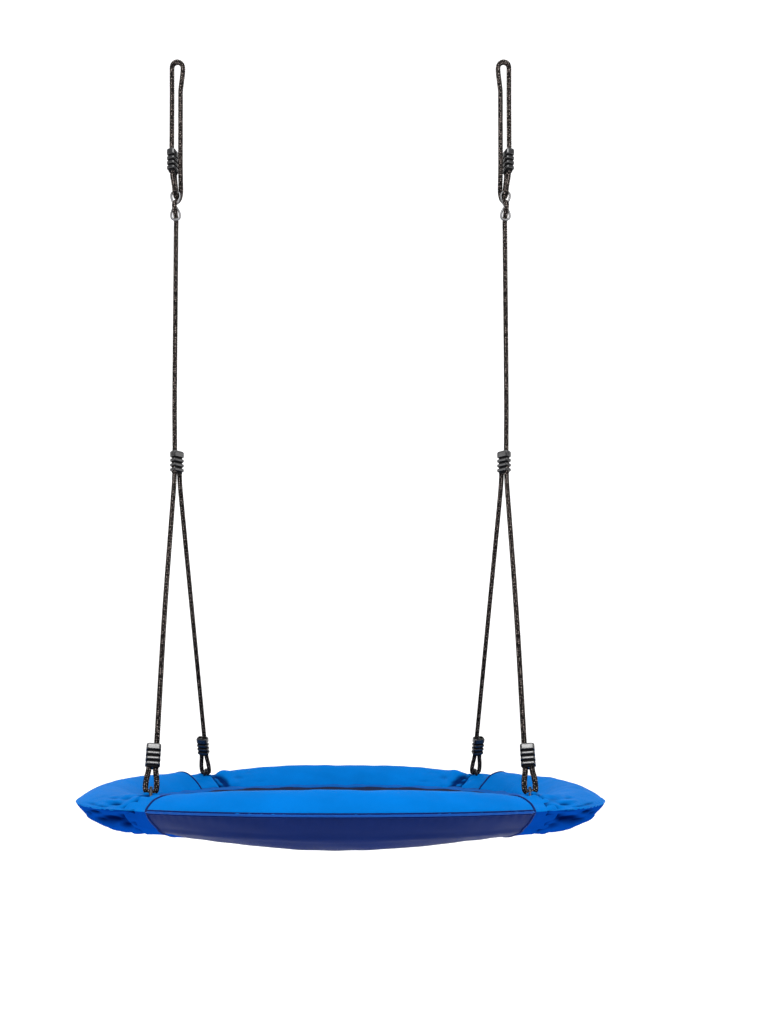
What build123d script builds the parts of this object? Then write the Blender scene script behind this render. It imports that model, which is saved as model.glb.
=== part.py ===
from build123d import *
import os
from math import cos, degrees, radians, sin, sqrt, tan

# Saucer nest swing, millimetres. +Z is up, the user faces -Y, and the origin is the bottom centre of the saucer.

# Saucer rim
OUTER_RADIUS = 475.0        # outer seam of the padded rim
TUBE_PATH_RADIUS = 417.0    # centreline of the steel ring
INNER_RADIUS = 359.0        # inner edge of the padded rim
PAD_TOP = 83.5              # crown of the front and back pads
FULL_PAD = (0.0, PAD_TOP)   # lowest and highest point of the front and back pads
SIDE_PAD_HEIGHTS = (5.0, 75.0)  # of the side pads and of the bands
SEAM_HEIGHT = 50.0          # outer seam above the lowest point
INNER_SEAM_HEIGHT = 47.0
TUBE_HEIGHT = 44.0          # steel ring centreline
TUBE_DIAMETER = 25.0
TUBE_WALL = 2.0
SWAGE_LENGTH = 40.0         # reduced tube end that plugs into the next segment
FIT_GAP = 0.25
SKIN = 1.5                  # cover fabric with its backing
PIPING_DIAMETER = 4.0
BAND_INSET = 2.5            # how far a strap band pulls the rim in
BAND_THICKNESS = 2.0
FOAM_GAP = 0.4              # between the foam and what wraps it

# Angles round the rim, degrees either side of the front for the first two, then from the front
FRONT_PAD_END = 38.0
FRONT_BAND = (38.4, 43.2)
FRONT_SLOT = 45.5           # where the front legs hang
BACK_SLOT = 135.6           # where the back legs hang
SIDE_PAD = (46.8, 128.5)
BACK_BAND = (129.0, 133.2)
BACK_PAD_START = 136.8

# Seat mat
MAT_THICKNESS = 3.0
MAT_EDGE_RADIUS = 346.0
MAT_EDGE_HEIGHT = 31.0
MAT_CENTRE_HEIGHT = 23.0
BORDER_THICKNESS = 2.4

# Ropes
ROPE_DIAMETER = 9.0
LOBE_OFFSET = 4.75          # half the spacing of two ropes in a clamp
GAP = 0.8                   # clearance between ropes of different moving groups
ROPE_ROOM = 0.6             # room that the foam and the cover leave round a leg's eye

# Hanging loops, all distances from the middle plane
LOOP_CENTRE = 304.4
LOOP_RADIUS = 10.25
LOOP_TOP = 1420.6
LOOP_END = 1397.0           # lower ends of the hanging loop, clear of the strands when they swing
SWING_AXIS_HEIGHT = 1393.0
LOOP_CLAMP_BOTTOM = 1208.5
NEAR_STRAND = (314.2, -4.5)     # outer strand and first leg of the ring eye, inside the loop clamp
FAR_STRAND = (311.3, 4.55)      # returning leg of the ring eye

# Height ring, a bent-wire figure of eight
WIRE_DIAMETER = 4.0
RING_X = 308.0
RING_TOP = 1174.0
RING_WAIST = 1148.0
RING_BOTTOM = 1122.0
RING_HALF_WIDTH = 9.5
RING_OVERLAP = 1.2          # how far each oval reaches past the waist
EYE_CLEARANCE = 0.2         # between the small eye and the wire it holds
MAIN_ROPE_TOP = 1181.0
INNER_BENDS = [(298.6, 0, 1362), (298.4, -3.2, 1216)]
RING_WEAVE = [(299.6, 7.4, 1170), (304.5, 7.0, 1160), (310.0, -7.0, 1150), (308.5, -5.0, 1139), (307.8, 7.0, 1125),
              (307.8, 4.0, 1104)]

# Junction clamp and legs
JUNCTION_X = 305.4
JUNCTION_BOTTOM = 647.5
JUNCTION_TURN = 43.0        # degrees that the clamp is turned from the X axis
LEG_BEND_HEIGHT = 640.0
LEG_BEND_RADIUS = 28.0
EYE_TURN = 15.0             # degrees that the eye's plane is turned from the X axis
EYE_HALF_WIDTH = 8.3
EYE_BOTTOM = 32.8           # along the leg, from the centre of the tube
EYE_SHOULDER = 52.0
EYE_RADII = [40, 20, 8.2, 8.2, 20, 40]
EYE_ROOM_BOTTOM = 12.0      # the slot for an eye, along the leg
EYE_ROOM_TOP = 110.0
STAPLE_WIRE = 5.0           # welded steel staple that holds an eye to the tube
STAPLE_HALF_SPAN = 7.3
STAPLE_FOOT = 6.0           # along the leg, inside the tube before it is cut to its surface
STAPLE_GAP = 0.1
FRONT_CLAMP_BOTTOM = 74.0   # along the leg, from the centre of the tube
BACK_CLAMP_BOTTOM = 77.0

# Two-lobed clamp shells
CLAMP_LENGTH = 42.0
CLAMP_CORE = (21.0, 13.4, 4.5)      # width, depth and corner radius
CLAMP_RIB = (23.0, 15.4, 5.5)
CLAMP_CAP_LENGTH = 11.6
CLAMP_RIB_START = 4.0
CLAMP_RIB_LENGTH = 5.5
CLAMP_RIB_STEP = 8.8
CLAMP_BORE_RADIUS = 4.6
CLAMP_PARTING = 0.1
TAIL_INSET = 5.0            # how far below a clamp's top a cut rope end sits
RING_SCREW_DIAMETER = 4.0
RING_SCREW_HEAD = 8.0

ROPE_RADIUS = ROPE_DIAMETER / 2
SWAGE_ANGLE = degrees(SWAGE_LENGTH / TUBE_PATH_RADIUS)
TUBE_RADIUS = TUBE_DIAMETER / 2
SIDES = {"left": -1, "right": 1}


def save(node, shape):
    export_step(shape, f"parts/{node}.step")


def bend_radius(before, corner, after):
    into = corner - before
    out = after - corner
    return 0.45 * min(into.length, out.length) / tan(radians(into.get_angle(out)) / 2)


def rope(points, radii=None):
    """A round rope along straight runs joined by tangent arcs."""
    points = [Vector(*point) for point in points]
    if len(points) == 2:
        path = Line(*points)
    else:
        corners = zip(points, points[1:], points[2:])
        largest = [bend_radius(*corner) for corner in corners]
        radii = radii or largest
        print("bend radii", [round(bend, 1) for bend in radii])
        path = FilletPolyline(*points, radius=radii)
    start = Plane(origin=path @ 0, z_dir=path % 0)
    return sweep(start * Circle(ROPE_RADIUS), path=path)


def on_side(side, points):
    return [(side * x, y, z) for x, y, z in points]


def hanging_loop(side):
    top = LOOP_TOP - ROPE_RADIUS - LOOP_RADIUS
    left = (side * (LOOP_CENTRE - LOOP_RADIUS), 0)
    right = (side * (LOOP_CENTRE + LOOP_RADIUS), 0)
    path = Line((*left, LOOP_END), (*left, top))
    path += ThreePointArc((*left, top), (side * LOOP_CENTRE, 0, top + LOOP_RADIUS), (*right, top))
    path += Line((*right, top), (*right, LOOP_END))
    start = Plane(origin=(*left, LOOP_END), z_dir=(0, 0, 1))
    return sweep(start * Circle(ROPE_RADIUS), path=path)


def outer_strand(side):
    x, y = NEAR_STRAND
    end = LOOP_CLAMP_BOTTOM + CLAMP_LENGTH + GAP
    top = (LOOP_CENTRE + LOOP_RADIUS, 0, SWING_AXIS_HEIGHT)
    return rope(on_side(side, [top, (x, y, end + 8), (x, y, end)]))


def inner_strand(side):
    top = (LOOP_CENTRE - LOOP_RADIUS, 0, SWING_AXIS_HEIGHT)
    return rope(on_side(side, [top, *INNER_BENDS, (298.8, 4.6, MAIN_ROPE_TOP + GAP)]))


def ring_eye(side):
    """The small eye that holds the height ring: down one lobe, round the wire and up the other."""
    tight = WIRE_DIAMETER / 2 + ROPE_RADIUS
    wire_and_rope = tight + EYE_CLEARANCE
    near_x, near_y = NEAR_STRAND
    far_x, far_y = FAR_STRAND
    route = [
        (near_x, near_y, LOOP_CLAMP_BOTTOM + CLAMP_LENGTH),
        (near_x, near_y, LOOP_CLAMP_BOTTOM - 6),
        (RING_X, -wire_and_rope, RING_TOP + 4),
        (RING_X, -wire_and_rope, RING_TOP - wire_and_rope),
        (RING_X, wire_and_rope, RING_TOP - wire_and_rope),
        (RING_X, wire_and_rope, RING_TOP + 4),
        (far_x, far_y, LOOP_CLAMP_BOTTOM - 6),
        (far_x, far_y, LOOP_CLAMP_BOTTOM + CLAMP_LENGTH - 4),
    ]
    return rope(on_side(side, route), [30, 12, tight, tight, 12, 30])


def main_rope(side):
    """From the inner strand through the height ring, over its waist, and down to the junction."""
    x, y = junction_lobe(1)
    route = [
        (298.8, 4.6, MAIN_ROPE_TOP),
        *RING_WEAVE,
        (x, y, JUNCTION_BOTTOM + CLAMP_LENGTH + 30),
        (x, y, JUNCTION_BOTTOM + CLAMP_LENGTH + GAP),
    ]
    return rope(on_side(side, route))


def oval_wire(side, low, high):
    middle = (low + high) / 2
    plane = Plane(origin=(side * RING_X, 0, middle), x_dir=(1, 0, 0), z_dir=(0, -1, 0))
    outline = plane * RectangleRounded(2 * RING_HALF_WIDTH, high - low, RING_HALF_WIDTH - 0.3)
    path = outline.wire()
    start = Plane(origin=path @ 0, z_dir=path % 0)
    return sweep(start * Circle(WIRE_DIAMETER / 2), path=path)


def height_ring(side):
    upper = oval_wire(side, RING_WAIST - RING_OVERLAP, RING_TOP)
    lower = oval_wire(side, RING_BOTTOM, RING_WAIST + RING_OVERLAP)
    return upper + lower


def junction_lobe(sign):
    """X and Y of a junction lobe: 1 is the near, outer lobe and -1 the far, inner one."""
    turn = radians(JUNCTION_TURN)
    return JUNCTION_X + sign * LOBE_OFFSET * cos(turn), -sign * LOBE_OFFSET * sin(turn)


class Leg:
    """The frame of one leg: its hang point on the tube, the line up it, and its two rope lanes."""

    def __init__(self, side, end):
        slot = radians(FRONT_SLOT if end < 0 else BACK_SLOT)
        lobe_x, lobe_y = junction_lobe(-end)
        top = Vector(side * lobe_x, lobe_y, LEG_BEND_HEIGHT)
        turn = radians(EYE_TURN)
        across = Vector(side * cos(turn), end * sin(turn), 0)
        self.clamp_bottom = FRONT_CLAMP_BOTTOM if end < 0 else BACK_CLAMP_BOTTOM
        self.hang = Vector(side * sin(slot), -cos(slot), 0) * TUBE_PATH_RADIUS + Vector(0, 0, TUBE_HEIGHT)
        up = (top - self.hang).normalized()
        across = (across - up * across.dot(up)).normalized()
        self.up = (top + across * LOBE_OFFSET - self.hang).normalized()
        self.across = (across - self.up * across.dot(self.up)).normalized()
        self.through = self.up.cross(self.across)
        self.bend = top

    def at(self, sideways, height, forward=0.0):
        return self.hang + self.across * sideways + self.up * height + self.through * forward


def eye_route(leg):
    """The corners of the teardrop eye, from one lane of the seat clamp to the other."""
    half = [(LOBE_OFFSET, leg.clamp_bottom - 8), (EYE_HALF_WIDTH, EYE_SHOULDER), (EYE_HALF_WIDTH, EYE_BOTTOM)]
    near = [leg.at(-sideways, height) for sideways, height in half]
    return near + [leg.at(*place) for place in reversed(half)]


def leg_rope(side, end):
    """A leg from the junction clamp to its eye on the staple, and back into the seat clamp."""
    leg = Leg(side, end)
    start_height = JUNCTION_BOTTOM + CLAMP_LENGTH - (0 if end < 0 else TAIL_INSET)
    start = Vector(leg.bend.X, leg.bend.Y, start_height)
    finish = leg.at(LOBE_OFFSET, leg.clamp_bottom + CLAMP_LENGTH - TAIL_INSET)
    route = [start, leg.bend, *eye_route(leg), finish]
    return rope([tuple(point) for point in route], [LEG_BEND_RADIUS, *EYE_RADII])


def staple(side, end):
    """A steel arch welded to the ring tube, through one rope eye."""
    leg = Leg(side, end)
    crown = EYE_BOTTOM + ROPE_RADIUS + STAPLE_WIRE / 2 + STAPLE_GAP
    route = [(STAPLE_HALF_SPAN, STAPLE_FOOT), (STAPLE_HALF_SPAN, crown), (-STAPLE_HALF_SPAN, crown),
             (-STAPLE_HALF_SPAN, STAPLE_FOOT)]
    points = [leg.at(0, height, forward) for forward, height in route]
    path = FilletPolyline(*points, radius=STAPLE_HALF_SPAN - 0.2)
    wire = sweep(Plane(origin=path @ 0, z_dir=path % 0) * Circle(STAPLE_WIRE / 2), path=path)
    tube = Pos(0, 0, TUBE_HEIGHT) * Torus(TUBE_PATH_RADIUS, TUBE_RADIUS)
    return wire - tube


def eye_room(side, end):
    """The slot that the foam and the cover leave for one eye and its staple."""
    leg = Leg(side, end)
    place = Plane(origin=leg.at(0, (EYE_ROOM_BOTTOM + EYE_ROOM_TOP) / 2), x_dir=leg.across, z_dir=leg.up)
    width = 2 * (EYE_HALF_WIDTH + ROPE_RADIUS + ROPE_ROOM)
    depth = 2 * (STAPLE_HALF_SPAN + STAPLE_WIRE / 2 + ROPE_ROOM)
    return place * Box(width, depth, EYE_ROOM_TOP - EYE_ROOM_BOTTOM)


def block(size, length):
    """A block with rounded corners that stands on its origin."""
    width, depth, corner = size
    return extrude(RectangleRounded(width, depth, corner), amount=length)


def clamp_body():
    body = block(CLAMP_CORE, CLAMP_LENGTH)
    body += Pos(0, 0, CLAMP_LENGTH - CLAMP_CAP_LENGTH) * block(CLAMP_RIB, CLAMP_CAP_LENGTH)
    for rib in range(3):
        body += Pos(0, 0, CLAMP_RIB_START + CLAMP_RIB_STEP * rib) * block(CLAMP_RIB, CLAMP_RIB_LENGTH)
    for x in (-LOBE_OFFSET, LOBE_OFFSET):
        body -= Pos(x, 0, CLAMP_LENGTH / 2) * Cylinder(CLAMP_BORE_RADIUS, CLAMP_LENGTH + 2)
    return body


def clamp_half(sign):
    room = 40
    keep = Pos(0, sign * (room / 2 + CLAMP_PARTING / 2), CLAMP_LENGTH / 2) * Box(60, room, 60)
    return clamp_body() & keep


def loop_clamp_place(side):
    near = Vector(side * NEAR_STRAND[0], NEAR_STRAND[1], LOOP_CLAMP_BOTTOM)
    far = Vector(side * FAR_STRAND[0], FAR_STRAND[1], LOOP_CLAMP_BOTTOM)
    return Plane(origin=(near + far) / 2, x_dir=near - far, z_dir=(0, 0, 1))


def junction_place(side):
    x, y = junction_lobe(1)
    centre = Vector(side * JUNCTION_X, 0, JUNCTION_BOTTOM)
    return Plane(origin=centre, x_dir=Vector(side * x, y, JUNCTION_BOTTOM) - centre, z_dir=(0, 0, 1))


def seat_clamp_place(side, end):
    leg = Leg(side, end)
    return Plane(origin=leg.at(0, leg.clamp_bottom), x_dir=leg.across, z_dir=leg.up)


def rim_section(inset, heights=FULL_PAD):
    """The lens-shaped section of the padded rim in the XZ plane, drawn in by inset all round."""
    low, high = heights
    outer = (OUTER_RADIUS - 1.6 * inset, SEAM_HEIGHT)
    inner = (INNER_RADIUS + 1.3 * inset, INNER_SEAM_HEIGHT)
    top = ThreePointArc(outer, (TUBE_PATH_RADIUS, high - inset), inner)
    bottom = ThreePointArc(inner, (TUBE_PATH_RADIUS, low + inset), outer)
    return Plane.XZ * make_face(top + bottom)


def around(section, start, end):
    """Turns a section round Z from one rim angle to another, counted from the front towards +X."""
    return Rot(0, 0, start - 90) * revolve(section, Axis.Z, end - start)


def tube_hole():
    centre = Pos(TUBE_PATH_RADIUS, TUBE_HEIGHT)
    return Plane.XZ * (centre * Circle(TUBE_RADIUS + FIT_GAP))


def half_plane(above):
    """A wide section above or below the line between the two seams."""
    far = 60
    edge = [(INNER_RADIUS - 20, INNER_SEAM_HEIGHT - 0.5), (OUTER_RADIUS + 20, SEAM_HEIGHT + 0.5)]
    lift = PAD_TOP + far if above else -far
    corners = [*edge, (OUTER_RADIUS + 20, lift), (INNER_RADIUS - 20, lift)]
    return Plane.XZ * make_face(Polyline(*corners, close=True))


def piping_section(clearance=0.0):
    centre = Pos(OUTER_RADIUS - PIPING_DIAMETER / 2, SEAM_HEIGHT)
    return Plane.XZ * (centre * Circle(PIPING_DIAMETER / 2 + clearance))


def skin_section(above, heights):
    return (rim_section(0, heights) - rim_section(SKIN, heights) - piping_section(0.1)) & half_plane(above)


def foam(start, end, pad_start, pad_end, heights):
    """Foam that fills the cover between pad_start and pad_end, and is pinched under the bands."""
    block = around(rim_section(SKIN + FOAM_GAP, heights) - tube_hole() - piping_section(0.4), pad_start, pad_end)
    if end - start > pad_end - pad_start:
        pinched = rim_section(BAND_INSET + BAND_THICKNESS + FOAM_GAP, SIDE_PAD_HEIGHTS) - tube_hole()
        block += around(pinched, start, end)
    for index in range(4):
        head_room = Pos(0, 0, 0.5) * Cylinder(RING_SCREW_HEAD / 2 + 0.4, 3.4)
        block -= ring_screw_place(90 * index + SWAGE_ANGLE / 2) * head_room
    return block


def band(start, end):
    section = rim_section(BAND_INSET, SIDE_PAD_HEIGHTS)
    section -= rim_section(BAND_INSET + BAND_THICKNESS, SIDE_PAD_HEIGHTS)
    return around(section, start, end)


def ring_segment(index):
    """A quarter of the steel ring with one reduced end that plugs into the next quarter."""
    centre = Pos(TUBE_PATH_RADIUS, TUBE_HEIGHT)
    bore = TUBE_RADIUS - TUBE_WALL
    plug = bore - FIT_GAP / 2
    tube = Plane.XZ * (centre * (Circle(TUBE_RADIUS) - Circle(bore)))
    neck = Plane.XZ * (centre * (Circle(TUBE_RADIUS) - Circle(plug - TUBE_WALL)))
    swage = Plane.XZ * (centre * (Circle(plug) - Circle(plug - TUBE_WALL)))
    gap = 0.04
    start = 90 * index
    segment = around(tube, start + gap, start + 89) + around(neck, start + 89, start + 90 - gap)
    segment += around(swage, start + 90 - gap, start + 90 + SWAGE_ANGLE)
    for at in (start + SWAGE_ANGLE / 2, start + 90 + SWAGE_ANGLE / 2):
        segment -= ring_screw_place(at) * Cylinder(RING_SCREW_DIAMETER / 2 + 0.1, 24)
    return segment


def ring_screw_place(angle):
    """The inner side of the ring at an angle from the front, with Z pointing out of the tube."""
    turn = radians(angle - 90)
    outward = Vector(cos(turn), sin(turn), 0)
    origin = outward * (TUBE_PATH_RADIUS - TUBE_RADIUS) + Vector(0, 0, TUBE_HEIGHT)
    return Plane(origin=origin, z_dir=-outward)


def ring_screws():
    screws = []
    for index in range(4):
        shank = Pos(0, 0, -4) * Cylinder(RING_SCREW_DIAMETER / 2, 8)
        head = Pos(0, 0, 0.9) * Cylinder(RING_SCREW_HEAD / 2, 1.4)
        screws.append(ring_screw_place(90 * index + SWAGE_ANGLE / 2) * (Pos(0, 0, 0.3) * shank + head))
    return screws


def seat_mat():
    """A shallow dish of mat fabric, cut from two spheres that share their rise."""
    rise = MAT_EDGE_HEIGHT - MAT_CENTRE_HEIGHT
    ball = (MAT_EDGE_RADIUS ** 2 + rise ** 2) / (2 * rise)
    half_way = MAT_EDGE_RADIUS / 2
    dip = ball - sqrt(ball ** 2 - half_way ** 2)
    low = [(0, MAT_CENTRE_HEIGHT), (half_way, MAT_CENTRE_HEIGHT + dip), (MAT_EDGE_RADIUS, MAT_EDGE_HEIGHT)]
    high = [(x, z + MAT_THICKNESS) for x, z in reversed(low)]
    outline = ThreePointArc(*low) + Line(low[-1], high[0])
    outline += ThreePointArc(*high) + Line(high[-1], low[0])
    return revolve(Plane.XZ * make_face(outline), Axis.Z, 360)


def mat_border():
    """The webbing that joins the mat to the inner seam of the cover."""
    low = (MAT_EDGE_RADIUS + 0.2, MAT_EDGE_HEIGHT)
    high = (INNER_RADIUS - 0.6, INNER_SEAM_HEIGHT - 4)
    lift = BORDER_THICKNESS
    outline = Polyline(low, high, (high[0], high[1] + lift), (low[0], low[1] + lift), close=True)
    return revolve(Plane.XZ * make_face(outline), Axis.Z, 360)


def save_ropes(name, side):
    save(f"{name}_top_loop", hanging_loop(side))
    save(f"{name}_outer_strand", outer_strand(side))
    save(f"{name}_inner_strand", inner_strand(side))
    save(f"{name}_ring_eye", ring_eye(side))
    save(f"{name}_height_ring", height_ring(side))
    save(f"{name}_main_rope", main_rope(side))
    save(f"{name}_front_leg_rope", leg_rope(side, -1))
    save(f"{name}_back_leg_rope", leg_rope(side, 1))


def save_clamps():
    loop_places = {name: loop_clamp_place(side) for name, side in SIDES.items()}
    seat_places = {f"{name}_junction": junction_place(side) for name, side in SIDES.items()}
    for name, side in SIDES.items():
        seat_places[f"{name}_front_leg"] = seat_clamp_place(side, -1)
        seat_places[f"{name}_back_leg"] = seat_clamp_place(side, 1)
    shells = {"shell_a": clamp_half(1), "shell_b": clamp_half(-1)}
    for label, shell in shells.items():
        for name, place in loop_places.items():
            save(f"{name}_loop_clamp_{label}", place * shell)
        for name, place in seat_places.items():
            save(f"{name}_clamp_{label}", place * shell)


def save_rim():
    pads = {
        "front": (-FRONT_PAD_END, FRONT_PAD_END),
        "right": SIDE_PAD,
        "back": (BACK_PAD_START, 360 - BACK_PAD_START),
        "left": (-SIDE_PAD[1], -SIDE_PAD[0]),
    }
    foam_ends = {
        "front": (-FRONT_BAND[1], FRONT_BAND[1]),
        "right": (SIDE_PAD[0], BACK_BAND[1]),
        "back": pads["back"],
        "left": (-BACK_BAND[1], -SIDE_PAD[0]),
    }
    bands = {
        "right_front": FRONT_BAND,
        "right_back": BACK_BAND,
        "left_front": (-FRONT_BAND[1], -FRONT_BAND[0]),
        "left_back": (-BACK_BAND[1], -BACK_BAND[0]),
    }
    eyes = [eye_room(side, end) for side in SIDES.values() for end in (-1, 1)]
    for name, (start, end) in pads.items():
        heights = SIDE_PAD_HEIGHTS if name in SIDES else FULL_PAD
        save(f"{name}_cover_top", around(skin_section(True, heights), start, end) - eyes)
        save(f"{name}_cover_bottom", around(skin_section(False, heights), start, end) - eyes)
        save(f"{name}_foam", foam(*foam_ends[name], start, end, heights) - eyes)
    for name, (start, end) in bands.items():
        save(f"{name}_band", band(start, end) - eyes)
    save("outer_piping", Compound([around(piping_section(), *ends) for ends in pads.values()]))
    for index, name in enumerate(("front_right", "back_right", "back_left", "front_left")):
        save(f"{name}_ring_tube", ring_segment(index))
    save("ring_screws", Compound(ring_screws()))
    save("rope_staples", Compound([staple(side, end) for side in SIDES.values() for end in (-1, 1)]))
    save("seat_mat", seat_mat())
    save("mat_border", mat_border())


os.makedirs("parts", exist_ok=True)
for side_name, side_sign in SIDES.items():
    save_ropes(side_name, side_sign)
save_clamps()
save_rim()
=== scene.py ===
"""The looks of the saucer nest swing: braided ropes, clamps, height rings, padded rim and mat. Metres, +Z up."""
import math

import bpy
import numpy as np
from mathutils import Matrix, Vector


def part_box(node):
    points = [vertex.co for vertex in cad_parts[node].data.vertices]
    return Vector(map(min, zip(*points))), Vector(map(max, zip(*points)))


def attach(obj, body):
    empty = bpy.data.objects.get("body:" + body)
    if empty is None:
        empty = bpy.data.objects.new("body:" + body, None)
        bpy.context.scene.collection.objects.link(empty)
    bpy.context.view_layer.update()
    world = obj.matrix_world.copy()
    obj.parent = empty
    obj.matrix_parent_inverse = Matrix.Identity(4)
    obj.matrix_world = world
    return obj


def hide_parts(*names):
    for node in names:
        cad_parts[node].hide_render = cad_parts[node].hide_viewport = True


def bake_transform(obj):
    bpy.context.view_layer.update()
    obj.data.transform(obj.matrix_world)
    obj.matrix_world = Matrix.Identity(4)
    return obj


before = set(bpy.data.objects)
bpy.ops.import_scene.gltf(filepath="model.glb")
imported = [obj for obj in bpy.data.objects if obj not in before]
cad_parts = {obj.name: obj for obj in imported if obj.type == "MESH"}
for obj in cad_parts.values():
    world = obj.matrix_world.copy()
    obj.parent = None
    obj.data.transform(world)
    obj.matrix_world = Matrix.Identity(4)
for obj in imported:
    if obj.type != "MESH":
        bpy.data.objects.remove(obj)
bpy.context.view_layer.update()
MM = 0.001
SIDES = {"left": -1, "right": 1}

# Rim, in metres, with its angles in degrees from the front
PATH_RADIUS = 0.417                  # of the ring tube's middle line
HALF_WIDTH = 0.058                   # of the padding, from its middle to either seam
SEAM_Z, SEAM_SWAY = 0.0515, 0.0055   # the outer seam's mean height, and how far it rises at the front and back
INNER_SEAM_Z = 0.041
TOP_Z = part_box("front_cover_top")[1].z
TUBE_Z = 0.5 * sum(corner.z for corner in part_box("front_left_ring_tube"))
TUBE_CENTRE = np.array([PATH_RADIUS, TUBE_Z])
GIRTH = 0.29                         # round a padded section
FRONT_SLOT, BACK_SLOT = 45.5, 135.6
SLOT_SKEW = 5.2                      # that a side pad's front end reaches past its slot at the outer seam
FLAP_REACH = 1.7                     # that a front flap's edge reaches further over the crown
STRAP_NECK = 0.0125                  # how far a strap runs on, narrowed, past its rope slot
CROWN_ROUND = 0.86                   # how full a pad's crown is: under 1 is fuller than a cosine
UNDER_ROUND = 0.74, 0.62             # the same for the outer and the inner half of its underside
CREASE_Z, CREASE_WIDTH, CREASE_DEPTH = 0.021, 0.0032, 0.0034   # a ridge along the lower panel
SLEEVE_STEP, SLEEVE_COLUMNS = 0.003, 72
AROUND = np.arange(SLEEVE_COLUMNS) / SLEEVE_COLUMNS  # the places of a section's points round it
HEM_RADIUS, HEM_SIDES = 0.0023, 8
BROAD_SWELL, BAND_SWELL, PUCKER = 0.0009, 0.0007, 0.0009  # a section's unevenness, and the puckers at its seams
PLEAT_DEPTH, PLEAT_FADE = 0.0042, 0.024  # a gather's pleats, and how far from its slot they reach
FOLD_DEPTH, FOLD_FADE = 0.0024, 0.055    # its longer folds
# SHADE_FROM and SHADE_OVER set the painted shade that darkens the cloth's colour in its dents
SHADE_FROM, SHADE_OVER = 0.0015, 0.0055  # how deep a dent is where it starts to darken, and how much deeper it ends
NECK_CLOSE, NECK_EDGE = 0.32, 0.0016     # the share that a strap's neck is drawn in, and how softly it starts
PINCH, OUTER_PINCH, PINCH_REACH = 0.15, 0.13, 0.007   # the same for a pad at its slot, and how much less outside
FLAP_EDGE = 0.002                        # the rounded edge of a flap

# Dents and ridges of a pad beside a rope slot: distance from the slot, place round the section (0 the outer seam,
# 0.25 the crown, 0.5 the inner seam), size along the rim, size round the section, and how far they stand out
SLOT_DENTS = [
    (0.009, 0.060, 0.009, 0.030, -0.0095), (0.036, 0.098, 0.013, 0.012, -0.0065), (0.044, 0.902, 0.027, 0.022, -0.0125),
    (0.014, 0.935, 0.012, 0.020, -0.0090), (0.090, 0.945, 0.022, 0.012, -0.0085), (0.030, 0.160, 0.016, 0.010, -0.0060),
    (0.020, 0.235, 0.020, 0.013, -0.0050), (0.023, 0.018, 0.013, 0.016, 0.0062), (0.056, 0.130, 0.020, 0.010, 0.0042),
    (0.046, 0.198, 0.024, 0.009, 0.0034), (0.026, 0.320, 0.020, 0.014, -0.0040), (0.055, 0.285, 0.024, 0.010, 0.0024),
    (0.030, 0.965, 0.016, 0.012, 0.0040), (0.086, 0.878, 0.026, 0.014, -0.0075), (0.098, 0.064, 0.024, 0.009, -0.0050),
    (0.130, 0.915, 0.030, 0.013, -0.0060), (0.064, 0.050, 0.020, 0.009, -0.0050), (0.070, 0.925, 0.018, 0.010, 0.0034),
    (0.020, 0.860, 0.014, 0.020, -0.0060), (0.060, 0.850, 0.022, 0.012, 0.0028), (0.068, 0.168, 0.018, 0.008, -0.0034),
]
# The same for the back pad, which is pinched most over its inner half
BACK_SLOT_DENTS = [
    (0.018, 0.360, 0.010, 0.120, -0.0130), (0.042, 0.270, 0.018, 0.060, 0.0045), (0.040, 0.400, 0.014, 0.030, 0.0026),
    (0.060, 0.340, 0.022, 0.028, -0.0036), (0.026, 0.180, 0.016, 0.030, -0.0060), (0.045, 0.080, 0.022, 0.020, -0.0060),
    (0.020, 0.930, 0.016, 0.030, -0.0070), (0.085, 0.300, 0.030, 0.018, -0.0020), (0.110, 0.400, 0.030, 0.016, -0.0020),
]

# Each padded section: where it starts and ends, how each end finishes, and the seed of its folds
PADS = {
    "front": (-36.9, 36.9, ("flap", "flap"), 11),
    "right": (45.7, 126.2, ("gather", "flap"), 23),
    "back": (135.9, 224.1, ("gather", "gather"), 37),
    "left": (-126.2, -45.7, ("flap", "gather"), 29),
}
STRAPS = {
    "right_front": (33.0, 47.0, ("flap", "gather"), 41),
    "right_back": (124.0, 137.0, ("flap", "gather"), 43),
    "left_front": (-47.0, -33.0, ("gather", "flap"), 47),
    "left_back": (-137.0, -124.0, ("gather", "flap"), 53),
}
STRAP_INSET = 0.0032                 # how much nearer the ring tube a strap lies than the pads

# Cords along the outer seam: the piping, and above and below it two thin dark cords that paint its shadow lines. Each
# gives how far up, how far out, radius, material and finish
SEAM = [
    ("piping", -0.0004, 0.0002, 0.0018, "piping", "piping_fabric"),
    ("upper_seam_shadow_line", 0.0022, -0.0010, 0.0012, "binding", "navy_fabric"),
    ("lower_seam_shadow_line", -0.0032, -0.0010, 0.0012, "binding", "navy_fabric"),
]
SIDE_SEAM = [("piping", 0.0, -0.0010, 0.0017, "blue", "piping_fabric")]

# Ropes, in metres
ROPE_RADIUS = 0.0045
CARRIERS = 8                         # strands of the braid each way
BRAID_PITCH = 0.026                  # along the rope for one turn of a strand
LOBE = 0.00475                       # from a clamp's middle to each of its two ropes
ROPE_GIRTH = 2 * math.pi * ROPE_RADIUS


# ---------------------------------------------------------------- materials

def put(made, into, value):
    """Set a node's input to a value, or link it to an output."""
    if isinstance(value, bpy.types.NodeSocket):
        made.node_tree.links.new(value, into)
    else:
        into.default_value = value


def dress(made, **sockets):
    """Set or link the inputs of a material's shader. An input's spaces are underscores in its keyword."""
    for socket, value in sockets.items():
        put(made, made.node_tree.nodes["Principled BSDF"].inputs[socket.replace("_", " ")], value)


def new_material(name, colour, roughness, **sockets):
    made = bpy.data.materials.new(name)
    made.use_nodes = True
    dress(made, Base_Color=(*colour, 1), Roughness=roughness, **sockets)
    return made


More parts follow.
